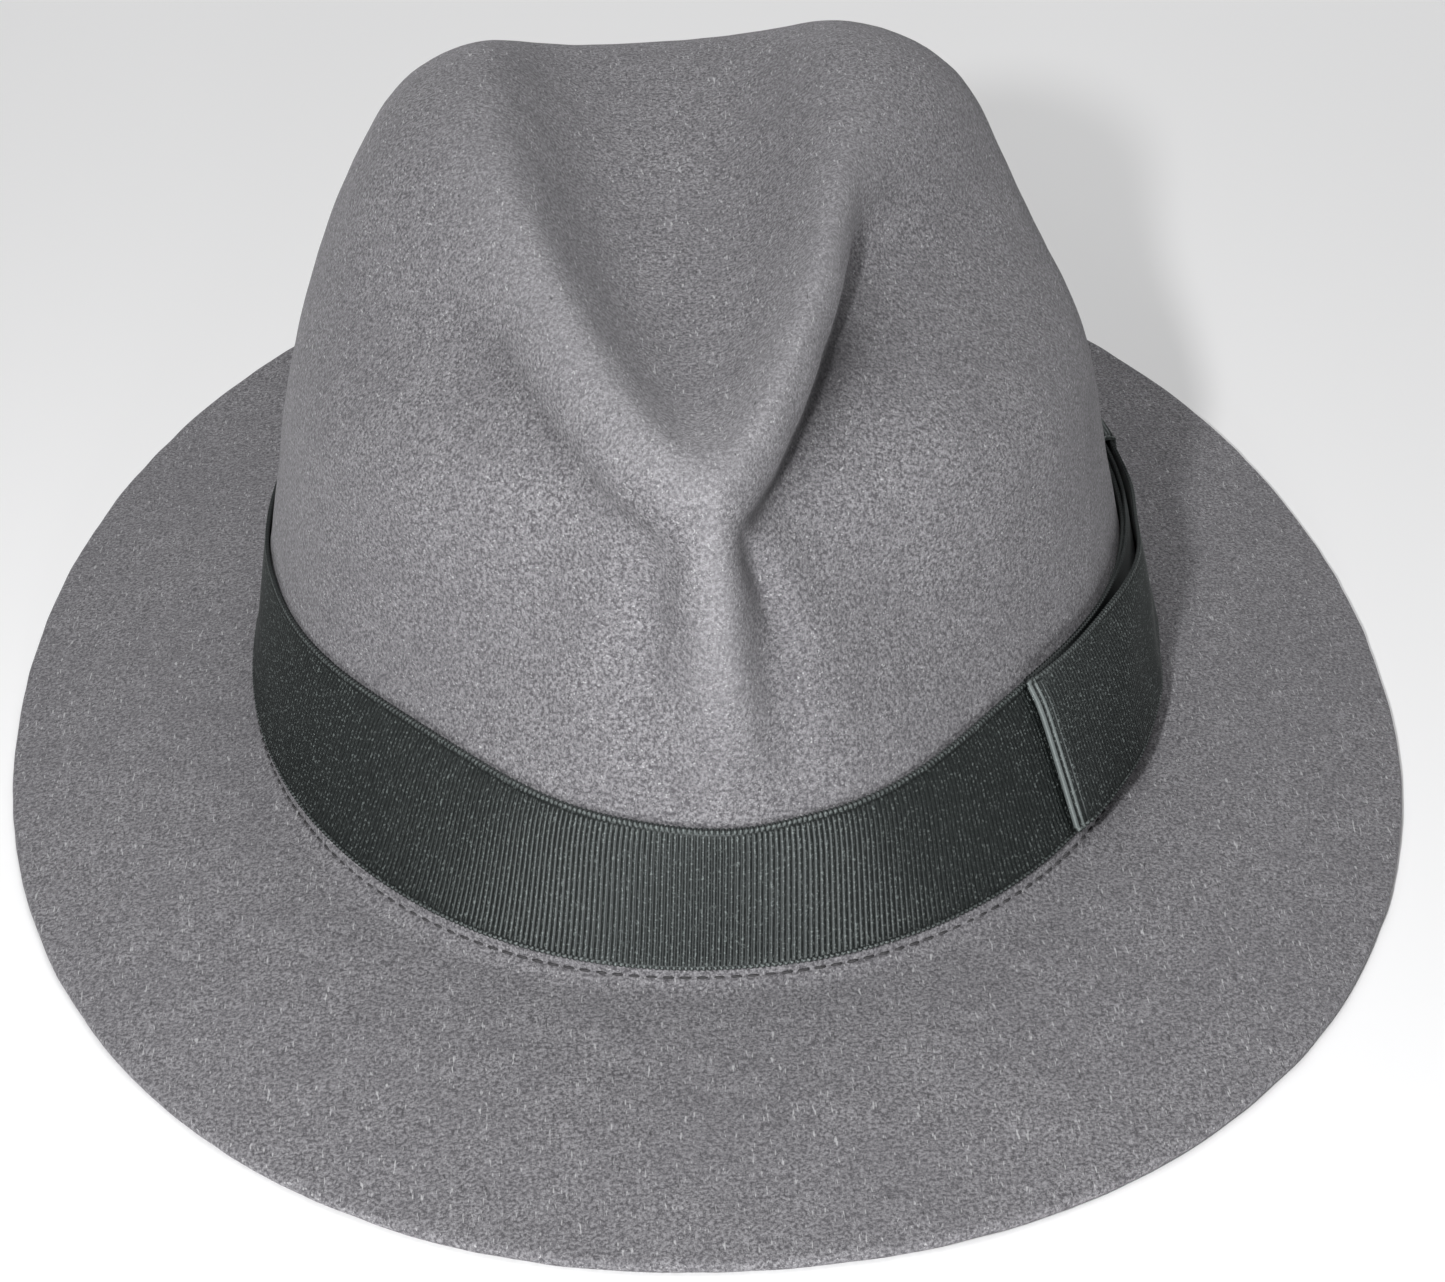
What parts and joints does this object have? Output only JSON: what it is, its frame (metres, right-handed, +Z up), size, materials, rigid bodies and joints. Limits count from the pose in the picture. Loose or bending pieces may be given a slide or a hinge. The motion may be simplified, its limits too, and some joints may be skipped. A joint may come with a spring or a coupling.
{
  "type": "fedora hat",
  "caption": "Felt fedora with a teardrop-creased, front-pinched crown, grosgrain band with a side bow, leather sweatband and satin lining.",
  "frame": {"origin": "middle of the brim's outline, on the surface that the brim rests on", "axes": "+Z up through the crown, -Y the way the wearer faces, +X the wearer's left, where the bow is"},
  "size_m": [0.257, 0.3305, 0.1188],
  "materials": {
    "felt": "matt mid-grey fur felt",
    "grosgrain": "ribbed near-black grosgrain ribbon",
    "leather": "smooth tan leather",
    "piping": "dark woven tape",
    "thread": "dark sewing thread",
    "satin": "grey satin"
  },
  "bodies": {
    "root": {"felt_body": "felt", "hat_band": "grosgrain", "bow_front_loop": "grosgrain", "bow_rear_loop": "grosgrain", "bow_knot": "grosgrain", "sweatband": "leather", "sweatband_piping": "piping", "sweatband_stitching": "thread", "sweatband_bow": "grosgrain", "lining_side": "satin", "lining_tip": "satin"}
  },
  "joints": []
}
